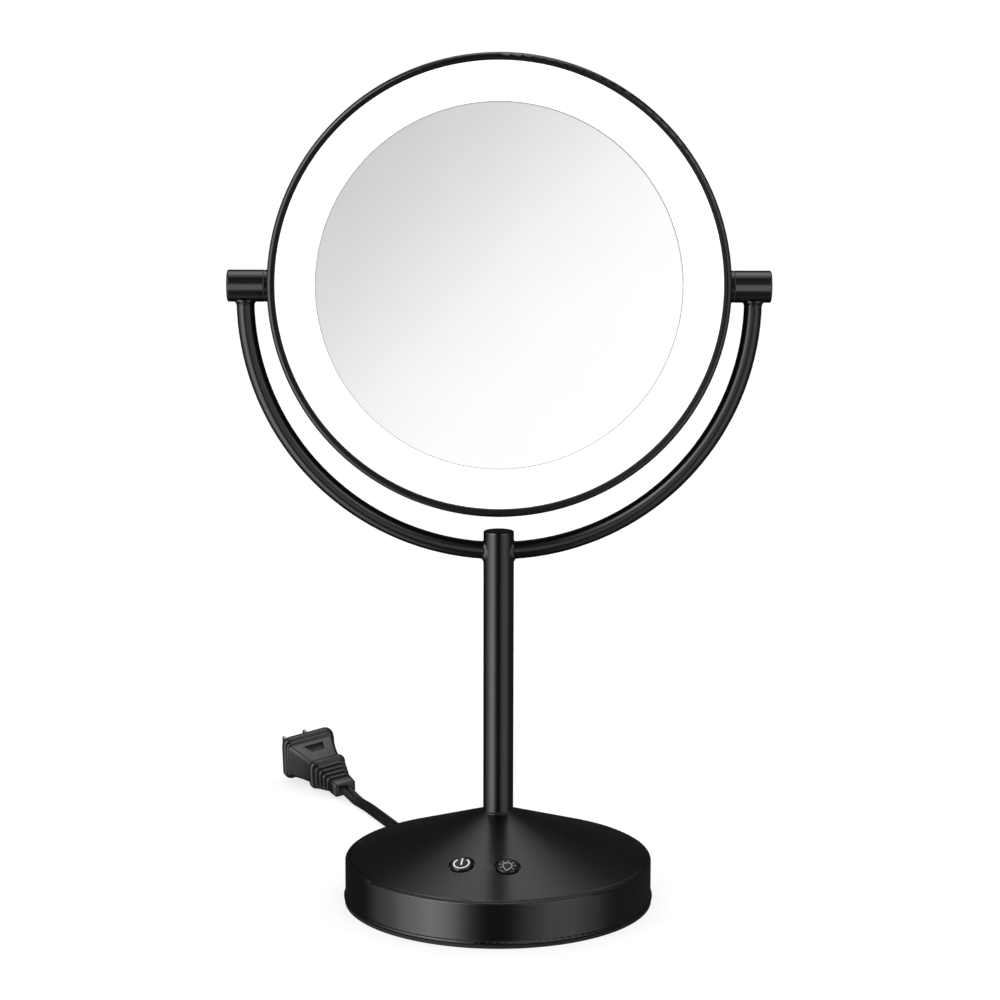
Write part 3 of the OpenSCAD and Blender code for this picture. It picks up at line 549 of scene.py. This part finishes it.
# the blades: 12.7 mm apart and 1.5 mm thick, the right one the taller
plug_len, blade_len, blade_reach, left_blade_h, right_blade_h = 48.5, 22.0, 12.7 + 1.5, 6.3, 7.9
blade_size = hi("plug_blades") - lo("plug_blades")


def plug_place():
    """The plug's frame, from its mount and its blades: origin on its cord end, Y to the blades, X across."""
    mount = mounts["plug_blades"]
    axis = Vector(mount["axis"]).normalized()
    face = Vector(mount["pos_m"])
    # the roll about that axis is the one that gives the blades the size of their box
    best = None
    for roll in range(-180, 180):
        a = math.radians(roll / 10)
        flat = Vector((axis.y, -axis.x, 0)).normalized()
        x = Matrix.Rotation(a, 3, axis) @ flat
        z = x.cross(axis)
        size = blade_box(x, axis, z)
        miss = (size - blade_size).length
        if best is None or miss < best[0]:
            best = (miss, x, z)
    x, z = best[1], best[2]
    place = Matrix((x, axis, z)).transposed().to_4x4()
    place.translation = face - axis * plug_len * MM
    return place


def blade_box(x, y, z):
    """Size of the box round both blades if they lay along these axes."""
    points = [sx * x * blade_reach / 2 + sy * y * blade_len + sz * z * h / 2
              for sx, h in ((-1, left_blade_h), (1, right_blade_h)) for sy in (0, 1) for sz in (-1, 1)]
    return Vector([max(p[i] for p in points) - min(p[i] for p in points) for i in range(3)]) * MM


def plug_shell():
    """Moulded plug: end block, strain-relief ribs, collar, tapered grip with a finger recess, stepped rim."""
    place = plug_place()
    s = [(0.0, 11.2, 6.2, 1.4), (0.25, 12.2, 7.2, 1.8), (0.9, 12.9, 7.9, 2.0), (5.9, 13.4, 8.3, 2.0),
         (6.7, 13.1, 8.0, 2.0), (7.1, 12.2, 7.1, 1.8)]
    for i in range(4):
        y, w, h = 7.7 + 3.15 * i, 14.3 + 1.5 * i, 9.3 + 1.65 * i
        s += [(y, w - 3.4, h - 3.4, 2.0), (y + 0.06, w - 1.4, h - 1.4, 2.6), (y + 0.3, w - 0.4, h - 0.4, 3.0),
              (y + 0.85, w, h, 3.2), (y + 1.4, w - 0.4, h - 0.4, 3.0), (y + 1.66, w - 1.4, h - 1.4, 2.6),
              (y + 1.72, w - 3.4, h - 3.4, 2.0)]
    s += [(20.2, 17.4, 13.2, 3.0), (20.35, 19.4, 15.0, 3.4), (20.8, 20.8, 16.3, 3.8), (21.6, 21.5, 17.0, 4.0),
          (23.2, 21.5, 17.0, 4.0), (24.0, 20.8, 16.3, 3.8), (24.4, 19.4, 15.0, 3.2), (24.6, 18.2, 14.0, 2.4),
          (27.0, 19.0, 14.4, 2.3), (31.0, 20.8, 15.4, 2.3), (35.0, 23.0, 16.6, 2.3), (39.0, 25.6, 18.0, 2.3),
          (42.4, 27.9, 19.4, 2.4), (42.6, 28.7, 21.2, 3.4), (42.9, 29.3, 22.4, 4.0), (43.5, 29.6, 22.9, 4.2),
          (44.1, 29.5, 22.8, 4.2), (44.35, 28.9, 22.2, 4.0), (44.5, 29.2, 23.4, 4.2), (44.8, 30.2, 24.7, 4.6),
          (45.4, 30.9, 25.4, 4.9), (46.4, 31.1, 25.6, 5.0), (47.5, 31.0, 25.5, 5.0), (48.2, 30.4, 24.9, 4.7),
          (48.5, 29.4, 23.9, 4.4)]
    obj = add_piece("plug_shell", *loft(s, place), "stand", plug, sharp=50)
    # finger recess on the grip's broad side
    top, bottom = [], []
    for z, grow in ((12.0, 1.7), (7.4, 0.0)):
        ring = [place @ Vector((x * MM, y * MM, z * MM)) for x, y in (
            (-3.4 - grow * 0.7, 33.6 - grow * 0.6), (3.4 + grow * 0.7, 33.6 - grow * 0.6),
            (5.4 + grow * 0.8, 39.2 + grow * 0.5), (-5.4 - grow * 0.8, 39.2 + grow * 0.5))]
        (top if not top else bottom).extend(ring)
    cutter = bpy.data.meshes.new("cutter")
    cutter.from_pydata([tuple(v) for v in top + bottom], [], [
        (0, 1, 2, 3), (7, 6, 5, 4), (0, 4, 5, 1), (1, 5, 6, 2), (2, 6, 7, 3), (3, 7, 4, 0)])
    bm = bmesh.new()
    bm.from_mesh(cutter)
    bmesh.ops.recalc_face_normals(bm, faces=bm.faces)
    bm.to_mesh(cutter)
    bm.free()
    tool = bpy.data.objects.new("cutter", cutter)
    bpy.context.scene.collection.objects.link(tool)
    tool.matrix_world = Matrix.Identity(4)
    cut = obj.modifiers.new("recess", "BOOLEAN")
    cut.operation, cut.solver, cut.object = "DIFFERENCE", "EXACT", tool
    bpy.context.view_layer.update()
    made = bpy.data.meshes.new_from_object(obj.evaluated_get(bpy.context.evaluated_depsgraph_get()))
    obj.modifiers.clear()
    obj.data = made
    bpy.data.objects.remove(tool)
    soften = obj.modifiers.new("soft_edges", "BEVEL")
    soften.width, soften.segments, soften.limit_method = 0.35 * MM, 2, "ANGLE"
    soften.angle_limit = math.radians(40)
    soften.harden_normals = True
    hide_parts("plug_body")


plug_shell()

# ---------- studio ----------

world = bpy.data.worlds.new("studio")
bpy.context.scene.world = world
world.use_nodes = True
wt = world.node_tree
wt.nodes.clear()
path = wt.nodes.new("ShaderNodeLightPath")


def direction(tree):
    """Azimuth (camera's side at 0.5, left below it) and elevation of a ray that leaves the scene, both 0 to 1."""
    source = tree.nodes.new("ShaderNodeTexCoord")
    split = tree.nodes.new("ShaderNodeSeparateXYZ")
    link(tree, source.outputs["Generated"], split.inputs[0])
    azimuth = maths(tree, "ARCTAN2", split.outputs["X"], maths(tree, "MULTIPLY", split.outputs["Y"], -1))
    azimuth = maths(tree, "ADD", maths(tree, "DIVIDE", azimuth, 2 * math.pi), 0.5)
    elevation = maths(tree, "ARCSINE", split.outputs["Z"])
    return azimuth, maths(tree, "ADD", maths(tree, "DIVIDE", elevation, math.pi), 0.5)


def profile(tree, value, stops, span):
    """Smooth curve of a strength over an angle in degrees; strengths go up to 4."""
    node = tree.nodes.new("ShaderNodeValToRGB")
    node.color_ramp.interpolation = "EASE"
    elements = node.color_ramp.elements
    while len(elements) < len(stops):
        elements.new(0.5)
    for element, (angle, strength) in zip(elements, stops):
        element.position = angle / span + 0.5
        element.color = (strength / 4, strength / 4, strength / 4, 1)
    link(tree, value, node.inputs["Fac"])
    bw = tree.nodes.new("ShaderNodeRGBToBW")
    link(tree, node.outputs["Color"], bw.inputs[0])
    return maths(tree, "MULTIPLY", bw.outputs[0], 4)


def background(strength, colour=(1, 1, 1)):
    node = wt.nodes.new("ShaderNodeBackground")
    node.inputs["Color"].default_value = (*colour, 1)
    if isinstance(strength, (int, float)):
        node.inputs["Strength"].default_value = strength
    else:
        link(wt, strength, node.inputs["Strength"])
    return node.outputs[0]


def choose(flag, yes, no):
    node = wt.nodes.new("ShaderNodeMixShader")
    link(wt, flag, node.inputs["Fac"])
    link(wt, no, node.inputs[1])
    link(wt, yes, node.inputs[2])
    return node.outputs[0]


azimuth, elevation = direction(wt)
# softboxes as satin surfaces see them: a tall bright one at the left, a wide dim one at the right
sides = profile(wt, azimuth, [(-180, 0.02), (-118, 0.03), (-92, 0.7), (-68, 2.4), (-50, 3.9), (-36, 2.8),
                              (-22, 0.6), (-12, 0.02), (8, 0.02), (22, 0.6), (38, 1.2), (56, 1.2), (74, 0.6),
                              (94, 0.08), (180, 0.02)], 360)
low = profile(wt, elevation, [(-90, 0.2), (-50, 0.5), (-30, 1), (22, 1), (32, 2.0), (42, 1.8),
                              (54, 0.0), (90, 0.0)], 180)
rear = profile(wt, azimuth, [(-180, 1), (-150, 0.9), (-105, 0.1), (-60, 0.0), (60, 0.0), (105, 0.1),
                             (150, 0.9), (180, 1)], 360)
high = profile(wt, elevation, [(-90, 0), (38, 0.0), (48, 0.45), (56, 1.5), (68, 2.1), (90, 1.2)], 180)
zenith = profile(wt, elevation, [(-90, 0), (62, 0.0), (80, 1.5), (90, 1.6)], 180)
boxes = maths(wt, "ADD", maths(wt, "MULTIPLY", sides, low), maths(wt, "MULTIPLY", rear, high))
studio = maths(wt, "ADD", boxes, zenith)
pale = profile(wt, elevation, [(-90, 0.9), (-8, 0.86), (20, 0.72), (90, 0.6)], 180)
glossy = choose(path.outputs["Is Singular Ray"], background(pale), background(studio))
indirect = choose(path.outputs["Is Glossy Ray"], glossy, background(1.02))
out = wt.nodes.new("ShaderNodeOutputWorld")
link(wt, choose(path.outputs["Is Camera Ray"], background(1.0), indirect), out.inputs["Surface"])
world.cycles.sampling_method = "MANUAL"
world.cycles.sample_map_resolution = 512


def front_light(name, receivers, y, z, width, height, radiance):
    """Soft panel in front that lights only the named objects."""
    lamp = bpy.data.lights.new(name, "AREA")
    lamp.shape = "RECTANGLE"
    lamp.size, lamp.size_y = width, height
    lamp.energy = radiance * math.pi * width * height
    panel = bpy.data.objects.new(name, lamp)
    panel.location = (0, y, z)
    panel.rotation_mode = "QUATERNION"
    panel.rotation_quaternion = Vector((0, 1, 0)).to_track_quat("-Z", "Y")
    bpy.context.scene.collection.objects.link(panel)
    group = bpy.data.collections.new(name)
    for receiver in receivers:
        group.objects.link(bpy.data.objects[receiver])
    panel.light_linking.receiver_collection = group


front_light("barrel_panel",
            ("pivot_barrel_left", "pivot_barrel_right", "barrel_cap_left", "barrel_cap_right"),
            y=-0.6, z=pivot.z - 0.06, width=1.0, height=0.46, radiance=2.0)
front_light("yoke_panel", ("yoke_tube",), y=-0.9, z=pivot.z - 0.12, width=0.3, height=0.6, radiance=1.0)
front_light("ring_panel", ("head_ring",), y=-0.6, z=0.05, width=0.8, height=0.1, radiance=1.5)
front_light("button_panel", ("power_cap_dished", "brightness_cap_dished"),
            y=-0.8, z=0.28, width=0.5, height=0.3, radiance=1.6)

floor_mesh = bpy.data.meshes.new("floor")
floor_mesh.from_pydata([(-8, -8, 0), (8, -8, 0), (8, 8, 0), (-8, 8, 0)], [], [(0, 1, 2, 3)])
floor = bpy.data.objects.new("floor", floor_mesh)
floor.location.z = min(0, cad_box[0][2]) - 0.05 * MM
bpy.context.scene.collection.objects.link(floor)
fm, ft, fs = new_material("floor_pale")
link(ft, ramp(ft, noise(ft, coords(ft), 0.02, 2), [(0.3, (0.33, 0.33, 0.33)), (0.7, (0.35, 0.35, 0.35))]),
     fs.inputs["Base Color"])
fs.inputs["Roughness"].default_value = 0.9
fs.inputs["Specular IOR Level"].default_value = 0.0
fs.inputs["Emission Color"].default_value = (1, 1, 1, 1)
fs.inputs["Emission Strength"].default_value = 0.72
floor.data.materials.append(fm)
floor.visible_glossy = False


def mirror_card():
    """Graded card in front, seen only in reflections, that gives the glass its soft grey-to-white."""
    size = 0.42
    mesh = bpy.data.meshes.new("mirror_card")
    s = size / 2
    mesh.from_pydata([(-s, 0, -s), (s, 0, -s), (s, 0, s), (-s, 0, s)], [], [(0, 1, 2, 3)])
    card = bpy.data.objects.new("mirror_card", mesh)
    card.location = (0, -0.5, 0.2526)
    bpy.context.scene.collection.objects.link(card)
    mat = bpy.data.materials.new("mirror_card")
    mat.use_nodes = True
    tree = mat.node_tree
    tree.nodes.clear()
    vector = coords(tree, (1 / (size * 1000),) * 3)
    split = tree.nodes.new("ShaderNodeSeparateXYZ")
    link(tree, vector, split.inputs[0])
    # along the diagonal from the upper left (0) to the lower right (1), as seen in the glass
    along = maths(tree, "ADD", maths(tree, "MULTIPLY", maths(
        tree, "SUBTRACT", split.outputs["X"], split.outputs["Z"]), 0.5), 0.5)
    colour = ramp(tree, along, [(0.2, (0.61, 0.615, 0.61)), (0.3, (0.645, 0.65, 0.645)),
                                (0.39, (0.76, 0.77, 0.765)), (0.49, (0.92, 0.935, 0.925)),
                                (0.58, (1.02, 1.03, 1.03)), (0.8, (1.06, 1.07, 1.07))])
    glow = tree.nodes.new("ShaderNodeEmission")
    link(tree, colour, glow.inputs["Color"])
    clear = tree.nodes.new("ShaderNodeBsdfTransparent")
    seen = tree.nodes.new("ShaderNodeLightPath")
    pick = tree.nodes.new("ShaderNodeMixShader")
    link(tree, seen.outputs["Is Singular Ray"], pick.inputs["Fac"])
    link(tree, clear.outputs[0], pick.inputs[1])
    link(tree, glow.outputs[0], pick.inputs[2])
    output = tree.nodes.new("ShaderNodeOutputMaterial")
    link(tree, pick.outputs[0], output.inputs["Surface"])
    mesh.materials.append(mat)
    card.visible_camera = card.visible_diffuse = card.visible_shadow = False
    card.visible_transmission = card.visible_volume_scatter = False


mirror_card()

# ---------- camera ----------

pitch, roll = math.radians(9.74), math.radians(0.12)
camera = bpy.data.objects.new("camera", bpy.data.cameras.new("camera"))
camera.data.sensor_width = 36
camera.data.lens = 94.4
camera.data.shift_x = 0.0012
camera.location = (0, -1.2221, 0.4055)
view = Vector((0, math.cos(pitch), -math.sin(pitch)))
camera.rotation_mode = "QUATERNION"
camera.rotation_quaternion = Quaternion(view, -roll) @ view.to_track_quat("-Z", "Y")
bpy.context.scene.collection.objects.link(camera)
bpy.context.scene.camera = camera
bpy.context.scene.view_settings.view_transform = "Standard"
